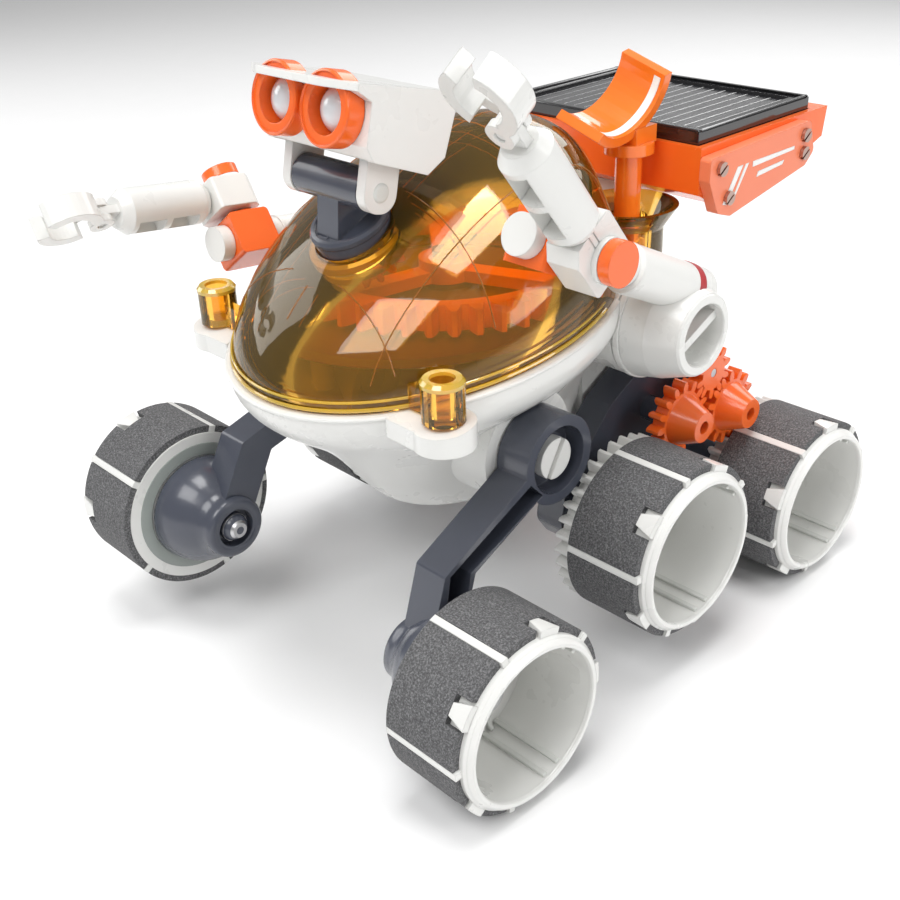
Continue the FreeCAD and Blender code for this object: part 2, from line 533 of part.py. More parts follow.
def turret():
    """The neck that swivels in the dome's collar, its gear, the head that nods on it, and the eyes."""
    disc = rod("size.disc_radius", 4.2, (0, 0, -3.2))
    disc.Placement = turret_frame.multiply(disc.Placement)
    spindle = rod("size.spindle_radius", 9.0, (0, 0, -12.0))
    spindle.Placement = turret_frame.multiply(spindle.Placement)
    neck_at = (val("neck_y"), val("neck_z"))
    post = side_plate([(-38.4, 99.6), (-28.6, 103.6), (-32.0, 110.6), (-37.4, 109.6)], -3.2, 3.2, "NeckPost")
    bar = side_rod(4.0, -val("neck_half_width"), val("neck_half_width"), neck_at)
    ends = [side_rod(2.05, side * 5.6, side * 12, neck_at) for side in (1, -1)]
    shown(cut(fuse(disc, spindle, post, bar), *ends), "neck")
    gear = gear_blank(14, 1.0, 2.8, 0.0)
    gear.Placement = turret_frame.multiply(Placement(Vector(0, 0, -10.6), UPRIGHT))
    hole = rod("size.spindle_radius + 0.01", 6)
    hole.Placement = turret_frame.multiply(Placement(Vector(0, 0, -12.4), UPRIGHT))
    shown(cut(gear, hole), "turret_gear")

    half = val("head_half_width")
    head = Placement(Vector(0, *neck_at), Rotation(Vector(1, 0, 0), -val("head_pitch")))
    outline = [(-10.9, 19.65), (-10.9, 18.2), (-7.5, 16.6), (-7.6, 8.6), (-5.6, 6.0, 1.0), (8.2, 4.0),
               (12.1, 7.3), (13.4, 16.2), (10.4, 19.65)]
    shell = side_plate(outline, -half, half, "HeadShell")
    hollow = side_plate([(-5.7, 3), (-5.7, 17.7), (9.6, 17.7), (11.4, 15.6), (10.2, 8.2), (6.4, 3)],
                        -half + 1.8, half - 1.8, "HeadHollow")
    brow = plate([(-half, -10.7), (-9.5, -14.6, 1.5), (9.5, -14.6, 1.5), (half, -10.7)], 1.45,
                 (0, 0, 18.2), name="Brow")
    ears, pins, eye_holes, eyes = [], [], [], []
    for side in (1, -1):
        ears.append(side_plate([(-4.0, 17.8), (-4.0, -4.0, 3.6), (4.0, -4.0, 3.6), (4.0, 17.8)],
                               side * 10.1, side * 12.5, "Ear"))
        pins.append(side_rod(2.0, side * 6.0, side * 10.3, (0, 0)))
        eye_holes.append(rod(5.45, 4, (side * 7.5, -4.5, 14.2), FORWARD))
        eye_holes.append(rod(7.1, 4, (side * 7.5, -7.62, 14.2), FORWARD))
        ring = rod(7.0, 3.6, (side * 7.5, -7.65, 14.2), FORWARD)
        stub = rod(5.4, 2.0, (side * 7.5, -6.0, 14.2), FORWARD)
        hole = rod(4.7, 12, (side * 7.5, -4.0, 14.2), FORWARD)
        eyes.append(cut(fuse(ring, stub), hole))
    shown(cut(fuse(cut(fuse(shell, brow), hollow), *ears, *pins), *eye_holes), "head_shell", head)
    pair = doc.addObject("Part::Compound", "Eyes")
    pair.Links = eyes
    shown(pair, "eyes", head)


def antenna_dish():
    """A curved dish on a stem that turns in the cup behind the dome."""
    stem = rod("size.stem_radius", 21.2, (*antenna, 84.4))
    base = rod(5.6, 2.6, (*antenna, 104.6))
    step = block((antenna[0] - 4.5, antenna[1] - 3.2, 107.0), (antenna[0] + 4.5, antenna[1] + 3.8, 110.8))
    outer, inner = 12.3, 10.1
    sweep = [math.radians(-12 + 140 * k / 16) for k in range(17)]
    corners = [(outer * math.cos(a), -outer * math.sin(a)) for a in sweep]
    corners += [(inner * math.cos(a), -inner * math.sin(a)) for a in reversed(sweep)]
    dish = side_plate(corners, -6.2, 6.2, "Dish")
    dish.Placement = Placement(Vector(antenna[0] + 1.0, antenna[1] - 8.0, 121.4),
                               Rotation(Vector(0, 1, 0), 17)).multiply(dish.Placement)
    shown(fuse(stem, base, step, dish), "antenna_dish")


def solar_deck():
    """The tray on the mast, the solar panel in it, and its two screwed side plates."""
    half = val("tray_half_width")
    outline = [(40.6, 106.5), (40.6, 96.0), (47.0, 92.6), (80, 96.4), (90, 99.5), (91.2, 106.5)]
    shell = side_plate(outline, -half, half, "Tray")
    upper = block((-29.3, 41.9, 104.85), (29.3, 86.0, 112))
    lower = block((-26.2, 45.0, 99.0), (26.2, 83.0, 106))
    mast_way = [(37, 70), (43.4, 60), (60.2, 91), (60.2, 95.5), (47.2, 95.5)]
    socket = side_plate(mast_way, -6.1, 6.1, "MastSocket")
    holes = [side_rod(0.85, side * 27.4, side * 36, at) for side in (1, -1) for at in SCREW_PLACES]
    shown(cut(shell, upper, lower, socket, *holes), "panel_tray")
    bezel = block((-29.0, 42.2, 104.95), (29.0, 85.7, 109.3))
    recess = block((-25.8, 45.4, 108.5), (25.8, 82.6, 110))
    shown(cut(bezel, recess), "solar_panel")
    plate_outline = [(40.4, 104.6, 1.0), (79.6, 105.6, 1.5), (82.0, 98.1, 1.5), (78.6, 95.2, 1.0),
                     (48.8, 90.1, 1.5), (44.0, 91.7, 1.5), (40.2, 99.6, 1.5)]
    plates, screws = [], []
    for side in (1, -1):
        panel = side_plate(plate_outline, side * (half + 0.05), side * 33.9, "SidePanel")
        ways = [side_rod(0.85, side * 30, side * 36, at) for at in SCREW_PLACES]
        plates.append(cut(panel, *ways))
        for at in SCREW_PLACES:
            shank = side_rod(0.83, side * 28.6, side * 34.2, at)
            cap = side_rod(1.6, side * 33.95, side * 34.8, at)
            slot = block((-1, -2, -0.25), (0.4, 2, 0.25))
            across = Placement(Vector(side * 34.7, *at), Rotation(Vector(1, 0, 0), 35))
            slot.Placement = across.multiply(slot.Placement)
            screws.append(cut(fuse(shank, cap), slot))
    for label, solids in (("tray_side_plates", plates), ("tray_screws", screws)):
        group = doc.addObject("Part::Compound", "Group")
        group.Links = solids
        shown(group, label)


def robot_arm(name, side, pitch, roll, elbow, twist):
    """Shoulder cup with its upper arm, the bracket on its spigot, and the forearm with its claw."""
    reach, offset, x_mid = val("elbow_reach"), val("arm_offset"), val("forearm_middle")
    at = Vector(side * (val("shoulder_x") + pod_out[side]), val("shoulder_y"), val("shoulder_z"))
    arm = Placement(at, Rotation(Vector(1, 0, 0), -pitch))
    outward = Rotation(Vector(0, 0, 1), Vector(side, 0, 0))

    cup = cone(12.8, 11.4, 7.05, (side * -7.1, 0, 0), outward)
    taper = cone(11.45, 9.0, 7.1, (side * -0.1, 0, 0), outward)
    hollow = side_rod(6.8, side * 0.5, side * 9, (0, 0))
    bar = block((0, -1.0, -7.2), (5.2, 1.0, 7.2))
    slant = Placement(Vector(side * 3.0 - 2.6, 0, 0), Rotation(Vector(1, 0, 0), -40))
    bar.Placement = slant.multiply(bar.Placement)
    socket = side_rod(6.05, side * -8, side * -4.8, (0, 0))
    sleeve = rod(5.2, 27.0, (0, 3.0, offset), FORWARD)
    tube = rod("size.arm_radius", reach - 5.6 - 20, (0, -20, offset), FORWARD)
    spigot = rod("size.spigot_radius", 22.9, (0, -reach + 15, offset), FORWARD)
    window = block((-5, -reach + 8, -2.2), (5, -26.4, 2.2))
    window.Placement = Placement(Vector(side * -4.0, 0, offset), UPRIGHT).multiply(window.Placement)
    solid = cut(fuse(cup, taper, sleeve, cut(tube, window), spigot), hollow)
    shown(cut(fuse(solid, bar), socket), name + "_shoulder", arm)

    cap_start = reach + 6.0
    cap = rod(4.0, 2.9, (0, -cap_start, offset), FORWARD)
    cap_bore = rod("size.spigot_radius + 0.02", 3.1, (0, -cap_start + 1, offset), FORWARD)
    shown(cut(cap, cap_bore), name + "_arm_cap", arm)

    bracket = arm.multiply(Placement(Vector(0, -reach, offset), Rotation(Vector(0, 1, 0), roll)))
    body = plate([(-5.0, -5.9, 1.0), (5.0, -5.9, 1.0), (5.0, 4.8, 1.0), (-5.0, 4.8, 1.0)], 10.4, (0, 0, -5.2),
                 name="Bracket")
    boss = side_rod(3.6, side * 4.8, side * 5.9, (0, 0))
    spigot_way = rod("size.spigot_radius + size.bore_gap", 14, (0, 7, 0), FORWARD)
    pin_way = side_rod("size.elbow_pin_radius", side * 3.0, side * 8, (0, 0))
    shown(cut(fuse(body, boss), spigot_way, pin_way), name + "_elbow_bracket", bracket)
    shank = side_rod("size.elbow_pin_radius", side * 3.1, side * 15.0, (0, 0))
    head = side_rod(4.2, side * 14.9, side * 17.4, (0, 0))
    shown(fuse(shank, head), name + "_elbow_pin", bracket)

    lower = bracket.multiply(Placement(Vector(0, 0, 0), Rotation(Vector(1, 0, 0), -elbow)))
    jaw = side_plate([(-7.4, -3.8), (-4.6, -5.8), (4.2, -5.8, 1.0), (4.2, 3.8), (2.0, 5.8), (-7.4, 5.8, 1.0)],
                     side * 6.2, side * 13.6, "ElbowBlock")
    collar = side_rod(4.3, side * 13.5, side * 14.8, (0, 0))
    pin_bore = side_rod("size.elbow_pin_radius + size.bore_gap", side * 5, side * 16, (0, 0))
    neck_bore = rod("size.neck_radius + size.bore_gap", 5.4, (side * x_mid, -2.6, 0), FORWARD)
    shown(cut(fuse(jaw, collar), pin_bore, neck_bore), name + "_forearm_block", lower)

    front = lower.multiply(Placement(Vector(side * x_mid, 0, 0), Rotation(Vector(0, 1, 0), twist)))
    claw_at = val("claw_reach")
    neck = rod("size.neck_radius", 6.0, (0, -2.8, 0), FORWARD)
    collar = cone(3.6, 5.0, 2.0, (0, -7.8, 0), FORWARD)
    barrel = rod("size.forearm_radius", 18.4, (0, -9.8, 0), FORWARD)
    shoulder_cone = cone(5.0, 3.4, 2.2, (0, -28.2, 0), FORWARD)
    tongue = fuse(block((-0.95, -claw_at, -2.3), (0.95, -28, 2.3)), side_rod(2.3, -0.95, 0.95, (-claw_at, 0)))
    claw_pin = side_rod("size.claw_pin_radius", -2.2, 2.2, (-claw_at, 0))
    pockets = [block((1.2, -18.6, -2.6), (6, -11.6, 2.6)), block((1.2, -27.0, -2.6), (6, -20.2, 2.6))]
    forearm = fuse(neck, collar, barrel, shoulder_cone, tongue, claw_pin)
    shown(cut(forearm, *pockets), name + "_forearm", front)

    for label, up in (("claw_upper", 1), ("claw_lower", -1)):
        spread = [math.radians(25 + 110 * k / 10) for k in range(11)]
        root = [math.radians(128 + 38 * k / 4) for k in range(5)]
        centre = -claw_at - 7.4

        def arc(radius, angles):
            return [(centre - radius * math.cos(a), up * radius * math.sin(a)) for a in angles]

        finger = side_plate(arc(7.1, spread) + arc(4.4, reversed(spread)), -2.6, 2.6, "Finger")
        low, high = sorted((up * 1.0, up * 2.6))
        link = side_plate(arc(7.1, root) + arc(4.4, reversed(root)), low, high, "FingerRoot")
        hub = side_rod(2.7, low, high, (-claw_at, 0))
        bore = side_rod("size.claw_pin_radius + size.bore_gap", -4, 4, (-claw_at, 0))
        way = side_rod(3.0, -4, 4, (-claw_at, 0))
        shown(cut(fuse(cut(finger, way), link, hub), bore), name + "_" + label, front)


def drive_shaft():
    shown(side_rod("size.shaft_radius", -38.0, 38.0, drive_axis), "drive_shaft")


FORWARD = Rotation(Vector(1, 0, 0), 90)
SCREW_PLACES = [(44.2, 101.8), (47.6, 94.6), (77.4, 102.6), (77.4, 98.4)]
DECK_Z = val("ring_z") - 3.0
ring_centre = (0, val("ring_y"))
motor_at = (0, val("ring_y") + val("ring_module") * (val("ring_teeth") + val("ring_pinion_teeth")) / 2)
turret_frame = Placement(Vector(0, val("turret_y"), val("turret_z")),
                         Rotation(Vector(1, 0, 0), val("turret_tilt")))

lower_hull()
dome()
ring_drive()
turret()
antenna_dish()
solar_deck()
drive_shaft()
for side, prefix in ((1, "left"), (-1, "right")):
    front_at = (-47.0, 20.0) if side > 0 else (-51.6, 27.6)
    wheel(prefix + "_front", side, val("front_wheel_inner"), front_at, None, 20 * side)
    wheel(prefix + "_mid", side, val("rear_wheel_inner"), mid_axle, phase["mid"], 12)
    wheel(prefix + "_rear", side, val("rear_wheel_inner"), rear_axle, phase["rear"], 30)
    front_arm(prefix, side, front_at)
    bogie(prefix, side)
robot_arm("left", 1, 26.0, 0.0, 26.0, 90.0)
robot_arm("right", -1, 5.5, 52.0, 3.0, 0.0)

doc.recompute()
problems = [o.Label for o in doc.Objects if "Invalid" in o.State or "Error" in o.State]
problems += [o.Label for o in nodes if o.Shape.isNull() or not o.Shape.isValid()]
if problems:
    raise RuntimeError("failed: " + ", ".join(problems))
os.makedirs("parts", exist_ok=True)
for node in nodes:
    node.Shape.exportStep("parts/%s.step" % node.Label)
    print(node.Label, len(node.Shape.Solids), round(node.Shape.Volume))
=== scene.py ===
import json
import math

import bmesh
import bpy
from mathutils import Matrix, Vector
from mathutils.bvhtree import BVHTree


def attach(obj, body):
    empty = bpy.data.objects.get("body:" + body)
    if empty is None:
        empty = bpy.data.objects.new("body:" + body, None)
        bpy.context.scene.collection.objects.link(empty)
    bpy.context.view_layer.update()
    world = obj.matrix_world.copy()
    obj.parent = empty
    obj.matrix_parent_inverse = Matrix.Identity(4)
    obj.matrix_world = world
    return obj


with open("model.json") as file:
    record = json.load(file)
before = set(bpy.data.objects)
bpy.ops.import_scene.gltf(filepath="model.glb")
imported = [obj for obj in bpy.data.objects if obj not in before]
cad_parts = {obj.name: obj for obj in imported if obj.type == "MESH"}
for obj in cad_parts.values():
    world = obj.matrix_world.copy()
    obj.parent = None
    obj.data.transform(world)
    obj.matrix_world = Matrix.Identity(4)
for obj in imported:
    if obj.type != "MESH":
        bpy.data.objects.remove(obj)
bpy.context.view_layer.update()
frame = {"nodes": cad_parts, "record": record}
nodes = frame["nodes"]
scene = bpy.context.scene

# The CAD was drawn in millimetres, then moved along Y to centre its box on the origin.
MM = 0.001
ORIGIN_SHIFT = -8.35
SIDES = (("left", 1), ("right", -1))


def place(x, y, z, turn=None):
    """A matrix from local millimetres to the frame: moved to a drawing point and turned."""
    spot = Matrix.Translation(Vector((x, y + ORIGIN_SHIFT, z)) * MM)
    return spot @ (turn.to_4x4() if turn else Matrix.Identity(4)) @ Matrix.Scale(MM, 4)


def turned(angle, axis):
    return Matrix.Rotation(math.radians(angle), 3, axis)


# ---------------------------------------------------------------- materials
def new_material(name):
    material = bpy.data.materials.new(name)
    material.use_nodes = True
    tree = material.node_tree
    return material, tree, tree.nodes["Principled BSDF"]


def add(tree, kind, settings=(), **inputs):
    node = tree.nodes.new(kind)
    for key, value in dict(settings).items():
        setattr(node, key, value)
    for key, value in inputs.items():
        node.inputs[key.replace("_", " ")].default_value = value
    return node


# Noise scales are in cycles per metre, distances in metres.
DRIFT_SCALE, GRAIN_SCALE, GRAIN_DEPTH, EDGE_RADIUS = 60.0, 900.0, 0.0002, 0.00035
FOAM_SPECKS, FOAM_CELLS, FOAM_DEPTH = 2600.0, 1500.0, 0.0002
CLEAR_DRIFT = 35.0
PLASTIC_IOR = 1.5


def plastic(name, low, high, rough, bump=0.05, coat=0.0, subsurface=0.0):
    """Moulded plastic: slow colour drift, fine surface grain, softened edges."""
    material, tree, shader = new_material(name)
    link = tree.links.new
    coords = add(tree, "ShaderNodeTexCoord")
    slow = add(tree, "ShaderNodeTexNoise", Scale=DRIFT_SCALE, Detail=4.0, Roughness=0.6)
    link(coords.outputs["Object"], slow.inputs["Vector"])
    tint = add(tree, "ShaderNodeMix", {"data_type": "RGBA"})
    tint.inputs["A"].default_value = (*low, 1)
    tint.inputs["B"].default_value = (*high, 1)
    link(slow.outputs["Fac"], tint.inputs["Factor"])
    link(tint.outputs["Result"], shader.inputs["Base Color"])
    fine = add(tree, "ShaderNodeTexNoise", Scale=GRAIN_SCALE, Detail=3.0)
    link(coords.outputs["Object"], fine.inputs["Vector"])
    polish = add(tree, "ShaderNodeMapRange")
    polish.inputs["To Min"].default_value, polish.inputs["To Max"].default_value = rough
    link(slow.outputs["Fac"], polish.inputs["Value"])
    link(polish.outputs["Result"], shader.inputs["Roughness"])
    edges = add(tree, "ShaderNodeBevel", {"samples": 4}, Radius=EDGE_RADIUS)
    relief = add(tree, "ShaderNodeBump", Strength=bump, Distance=GRAIN_DEPTH)
    link(fine.outputs["Fac"], relief.inputs["Height"])
    link(edges.outputs["Normal"], relief.inputs["Normal"])
    link(relief.outputs["Normal"], shader.inputs["Normal"])
    shader.inputs["Coat Weight"].default_value = coat
    shader.inputs["Coat Roughness"].default_value = 0.08
    shader.inputs["Subsurface Weight"].default_value = subsurface
    shader.inputs["Subsurface Radius"].default_value = (0.004, 0.002, 0.001)
    return material


def foam(name):
    """Grey foam rubber with light and dark specks."""
    material, tree, shader = new_material(name)
    link = tree.links.new
    coords = add(tree, "ShaderNodeTexCoord")
    specks = add(tree, "ShaderNodeTexNoise", Scale=FOAM_SPECKS, Detail=2.0, Roughness=0.7)
    cells = add(tree, "ShaderNodeTexVoronoi", Scale=FOAM_CELLS)
    for texture in (specks, cells):
        link(coords.outputs["Object"], texture.inputs["Vector"])
    ramp = add(tree, "ShaderNodeValToRGB")
    stops = ramp.color_ramp.elements
    stops[0].position, stops[0].color = 0.32, (0.055, 0.055, 0.057, 1)
    stops[1].position, stops[1].color = 0.72, (0.24, 0.24, 0.245, 1)
    middle = stops.new(0.5)
    middle.color = (0.105, 0.105, 0.108, 1)
    link(specks.outputs["Fac"], ramp.inputs["Fac"])
    link(ramp.outputs["Color"], shader.inputs["Base Color"])
    relief = add(tree, "ShaderNodeBump", Strength=0.6, Distance=FOAM_DEPTH)
    link(cells.outputs["Distance"], relief.inputs["Height"])
    link(relief.outputs["Normal"], shader.inputs["Normal"])
    polish = add(tree, "ShaderNodeMapRange")
    polish.inputs["To Min"].default_value, polish.inputs["To Max"].default_value = 0.78, 0.95
    link(specks.outputs["Fac"], polish.inputs["Value"])
    link(polish.outputs["Result"], shader.inputs["Roughness"])
    return material


def metal(name, low, high):
    """Turned or drawn metal, with fine lines one way."""
    material, tree, shader = new_material(name)
    link = tree.links.new
    coords = add(tree, "ShaderNodeTexCoord")
    scale = add(tree, "ShaderNodeMapping")
    scale.inputs["Scale"].default_value = (400, 30, 30)
    lines = add(tree, "ShaderNodeTexNoise", Scale=12.0, Detail=5.0)
    link(coords.outputs["Object"], scale.inputs["Vector"])
    link(scale.outputs["Vector"], lines.inputs["Vector"])
    tint = add(tree, "ShaderNodeMix", {"data_type": "RGBA"})
    tint.inputs["A"].default_value = (*low, 1)
    tint.inputs["B"].default_value = (*high, 1)
    link(lines.outputs["Fac"], tint.inputs["Factor"])
    link(tint.outputs["Result"], shader.inputs["Base Color"])
    polish = add(tree, "ShaderNodeMapRange")
    polish.inputs["To Min"].default_value, polish.inputs["To Max"].default_value = 0.22, 0.4
    link(lines.outputs["Fac"], polish.inputs["Value"])
    link(polish.outputs["Result"], shader.inputs["Roughness"])
    shader.inputs["Metallic"].default_value = 1.0
    return material


def clear_plastic(name, see_through, low, high, body, gloss):
    """Tinted clear plastic: light passes through tinted, under a mirror-like skin."""
    material, tree, shader = new_material(name)
    link = tree.links.new
    coords = add(tree, "ShaderNodeTexCoord")
    slow = add(tree, "ShaderNodeTexNoise", Scale=CLEAR_DRIFT, Detail=3.0)
    link(coords.outputs["Object"], slow.inputs["Vector"])
    tint = add(tree, "ShaderNodeMix", {"data_type": "RGBA"})
    tint.inputs["A"].default_value = (*low, 1)
    tint.inputs["B"].default_value = (*high, 1)
    link(slow.outputs["Fac"], tint.inputs["Factor"])
    link(tint.outputs["Result"], shader.inputs["Base Color"])
    shader.inputs["Roughness"].default_value = 0.2
    window = add(tree, "ShaderNodeBsdfTransparent")
    window.inputs["Color"].default_value = (*see_through, 1)
    inside = add(tree, "ShaderNodeMixShader")
    inside.inputs["Fac"].default_value = body
    link(window.outputs["BSDF"], inside.inputs[1])
    link(shader.outputs["BSDF"], inside.inputs[2])
    polish = add(tree, "ShaderNodeMapRange")
    polish.inputs["To Min"].default_value, polish.inputs["To Max"].default_value = 0.015, 0.06
    link(slow.outputs["Fac"], polish.inputs["Value"])
    skin = add(tree, "ShaderNodeBsdfGlossy")
    skin.inputs["Color"].default_value = (1.0, 0.96, 0.88, 1)
    link(polish.outputs["Result"], skin.inputs["Roughness"])
    grazing = add(tree, "ShaderNodeFresnel", IOR=PLASTIC_IOR)
    share = add(tree, "ShaderNodeMath", {"operation": "ADD", "use_clamp": True})
    share.inputs[1].default_value = gloss
    link(grazing.outputs["Fac"], share.inputs[0])
    mix = add(tree, "ShaderNodeMixShader")
    link(share.outputs["Value"], mix.inputs["Fac"])
    link(inside.outputs["Shader"], mix.inputs[1])
    link(skin.outputs["BSDF"], mix.inputs[2])
    link(mix.outputs["Shader"], tree.nodes["Material Output"].inputs["Surface"])
    return material


WHITE = plastic("white_plastic", (0.765, 0.765, 0.74), (0.79, 0.79, 0.765), (0.24, 0.32), coat=0.25)
# A darker copy of the white plastic: painted shade, used inside the wheel drums and on the ear pins.
WHITE_PAINTED_SHADE = plastic("white_plastic_painted_shade", (0.62, 0.63, 0.60), (0.68, 0.69, 0.66), (0.35, 0.45))
ORANGE = plastic("orange_plastic", (0.90, 0.125, 0.012), (0.94, 0.17, 0.02), (0.2, 0.3), coat=0.35,
                 subsurface=0.12)
ORANGE_DEEP = plastic("orange_dish_plastic", (0.90, 0.16, 0.01), (0.95, 0.22, 0.02), (0.14, 0.2), coat=0.6)
# A brighter orange for the ring gear: painted light, making up for the shade it sits in under the dome.
RING_ORANGE_PAINTED_LIGHT = plastic("ring_gear_painted_light", (0.95, 0.25, 0.06), (0.98, 0.30, 0.08), (0.25, 0.34), coat=0.2)
SALMON = plastic("salmon_plastic", (0.86, 0.20, 0.09), (0.90, 0.25, 0.12), (0.26, 0.34), coat=0.2)
SLATE = plastic("slate_plastic", (0.055, 0.061, 0.082), (0.070, 0.077, 0.102), (0.2, 0.3), coat=0.35)
BLACK = plastic("black_plastic", (0.008, 0.008, 0.009), (0.014, 0.014, 0.016), (0.06, 0.12), coat=0.8)
CELL = plastic("cell_silicon", (0.004, 0.004, 0.006), (0.010, 0.010, 0.014), (0.16, 0.24), coat=0.9)
SILVER = metal("silver_print", (0.62, 0.62, 0.62), (0.85, 0.85, 0.85))
STEEL = metal("steel", (0.45, 0.45, 0.46), (0.62, 0.62, 0.63))
SCREW = metal("screw_metal", (0.42, 0.30, 0.26), (0.58, 0.42, 0.36))
TAN = plastic("deck_plastic", (0.15, 0.085, 0.040), (0.19, 0.11, 0.055), (0.4, 0.5))
CREAM = plastic("cream_plastic", (0.83, 0.66, 0.28), (0.88, 0.72, 0.34), (0.35, 0.45))
RED_PRINT = plastic("red_print", (0.40, 0.02, 0.025), (0.46, 0.03, 0.035), (0.3, 0.36))
# White print for the side plates, also used for a painted highlight on the dish.
WHITE_PRINT_AND_HIGHLIGHT = plastic("white_print_and_highlight", (0.86, 0.86, 0.84), (0.9, 0.9, 0.88), (0.35, 0.4))
FOAM = foam("grey_foam")
AMBER = clear_plastic("amber_plastic", (1.0, 0.76, 0.30), (0.95, 0.50, 0.03), (1.0, 0.60, 0.05),
                      body=0.07, gloss=0.0)
AMBER_EDGE = clear_plastic("amber_edge_plastic", (0.98, 0.66, 0.12), (1.0, 0.62, 0.04), (1.0, 0.72, 0.08),
                           body=0.55, gloss=0.06)
AMBER_LINE = plastic("amber_line_plastic", (0.30, 0.10, 0.01), (0.40, 0.15, 0.02), (0.1, 0.2), coat=0.3)
BACKING = plastic("wheel_back_plastic", (0.30, 0.33, 0.31), (0.36, 0.39, 0.37), (0.4, 0.5))
LENS = plastic("eye_lens_plastic", (0.62, 0.64, 0.66), (0.72, 0.74, 0.76), (0.08, 0.14), coat=0.8)

SLOT_LOOKS = {"shell_white": WHITE, "amber_clear": AMBER, "orange_gloss": ORANGE, "slate_blue": SLATE,
              "foam_grey": FOAM, "salmon": SALMON, "screw_steel": SCREW, "panel_black": BLACK,
              "motor_steel": STEEL, "shaft_steel": STEEL, "deck_tan": TAN}
node_slot = {part["node"]: part["material_slot"] for part in frame["record"]["subparts"]}


def dress(node, material):
    """Give a CAD node its material."""
    data = nodes[node].data
    data.materials.clear()
    data.materials.append(material)
    for face in data.polygons:
        face.material_index = 0


for node_name, slot_name in node_slot.items():
    dress(node_name, SLOT_LOOKS[slot_name])
dress("antenna_dish", ORANGE_DEEP)
# The ring gear takes the brighter orange, painted light.
dress("ring_gear", RING_ORANGE_PAINTED_LIGHT)


# ---------------------------------------------------------------- making pieces
def piece(name, verts, faces, body, material, matrix, slot, bevel=0.0, smooth=35.0):
    """A new mesh object from local points, riding on a CAD body."""
    mesh = bpy.data.meshes.new(name)
    mesh.from_pydata([tuple(matrix @ Vector(v)) for v in verts], [], faces)
    build = bmesh.new()
    build.from_mesh(mesh)
    bmesh.ops.remove_doubles(build, verts=build.verts, dist=1e-7)
    bmesh.ops.recalc_face_normals(build, faces=build.faces)
    build.to_mesh(mesh)
    build.free()
    mesh.materials.append(material)
    obj = bpy.data.objects.new(name, mesh)
    scene.collection.objects.link(obj)
    if bevel:
        softened = obj.modifiers.new("Bevel", "BEVEL")
        softened.width = bevel * MM
        softened.segments = 2
        softened.limit_method = "ANGLE"
        softened.angle_limit = math.radians(30)
    for face in mesh.polygons:
        face.use_smooth = True
    mesh.set_sharp_from_angle(angle=math.radians(smooth))
    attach(obj, body)
    return obj


def lathe(profile, steps=64):
    """Points and faces of a closed profile of (radius, height) turned about local Z."""
    verts, faces = [], []
    count = len(profile)
    for step in range(steps):
        angle = 2 * math.pi * step / steps
        verts += [(r * math.cos(angle), r * math.sin(angle), h) for r, h in profile]
    for step in range(steps):
        here, there = step * count, ((step + 1) % steps) * count
        for k in range(count - 1):
            faces.append((here + k, here + k + 1, there + k + 1, there + k))
    return verts, faces


def prism(outline, low, high):
    """A flat outline of (x, y) standing from local z low to high."""
    count = len(outline)
    verts = [(x, y, low) for x, y in outline] + [(x, y, high) for x, y in outline]
    faces = [tuple(range(count - 1, -1, -1)), tuple(range(count, 2 * count))]
    faces += [(k, (k + 1) % count, (k + 1) % count + count, k + count) for k in range(count)]
    return verts, faces


def joined(*parts):
    """Several (verts, faces) lists as one."""
    verts, faces = [], []
    for part_verts, part_faces in parts:
        start = len(verts)
        verts += list(part_verts)
        faces += [tuple(i + start for i in face) for face in part_faces]
    return verts, faces


def moved(part, matrix):
    return [tuple(matrix @ Vector(v)) for v in part[0]], part[1]


def tube(points, radius, sides=8):
    """A round bead along a list of points."""
    verts, faces = [], []
    count = len(points)
    for index, point in enumerate(points):
        last = points[max(index - 1, 0)]
        following = points[min(index + 1, count - 1)]
        along = (Vector(following) - Vector(last)).normalized()
        across = along.cross((0, 0, 1)).normalized()
        if abs(along.z) > 0.9:
            across = along.orthogonal().normalized()
        up = across.cross(along).normalized()
        for side in range(sides):
            angle = 2 * math.pi * side / sides
            offset = across * math.cos(angle) + up * math.sin(angle)
            verts.append(tuple(Vector(point) + offset * radius))
    for index in range(count - 1):
        here, there = index * sides, (index + 1) * sides
        for side in range(sides):
            following = (side + 1) % sides
            faces.append((here + side, here + following, there + following, there + side))
    faces.append(tuple(range(sides - 1, -1, -1)))
    faces.append(tuple(range((count - 1) * sides, count * sides)))
    return verts, faces


# Turning local Z to the rover's sideways X, outward on either side.
def outward(side):
    return Matrix.Rotation(math.radians(90 * side), 3, "Y")


# ---------------------------------------------------------------- dome: panel lines and rim bead
def surface_of(node):
    data = nodes[node].data
    corners = [vertex.co.copy() for vertex in data.vertices]
    return BVHTree.FromPolygons(corners, [tuple(face.vertices) for face in data.polygons])


dome_surface = surface_of("dome")


def on_dome(x, y):
    """The dome's outside above a drawing point, as local millimetres."""
    start = Vector((x, y + ORIGIN_SHIFT, 200)) * MM
    hit = dome_surface.ray_cast(start, Vector((0, 0, -1)))[0]
    return None if hit is None else Vector((x, y, hit.z / MM))


UNTURNED = place(0, 0, 0)
TURRET_XY, TURRET_CLEARANCE, LOWEST_LINE = Vector((0, -32.4)), 11.5, 78
lines = []
for offset in (-22.0, 0.0, 22.0):
    lines.append([(offset * (1 + 0.05 * k / 40), -50 + 76 * k / 40) for k in range(41)])
for row in (-42.0, -22.0, 0.0, 20.0):
    lines.append([(x, row - 0.004 * x * x) for x in (-36 + 72 * k / 40 for k in range(41))])
groove_parts = []
for line in lines:
    run = []
    for point in [on_dome(x, y) for x, y in line] + [None]:
        if point is not None and point.z > LOWEST_LINE:
            if (point.xy - TURRET_XY).length > TURRET_CLEARANCE:
                run.append(point)
                continue
        if len(run) > 3:
            groove_parts.append(tube(run, 0.14, 6))
        run = []
piece("dome_panel_lines", *joined(*groove_parts), "chassis", AMBER_LINE, UNTURNED, "amber_clear")

RIM_PLACE = place(0, -7, 79, turned(8, "X"))


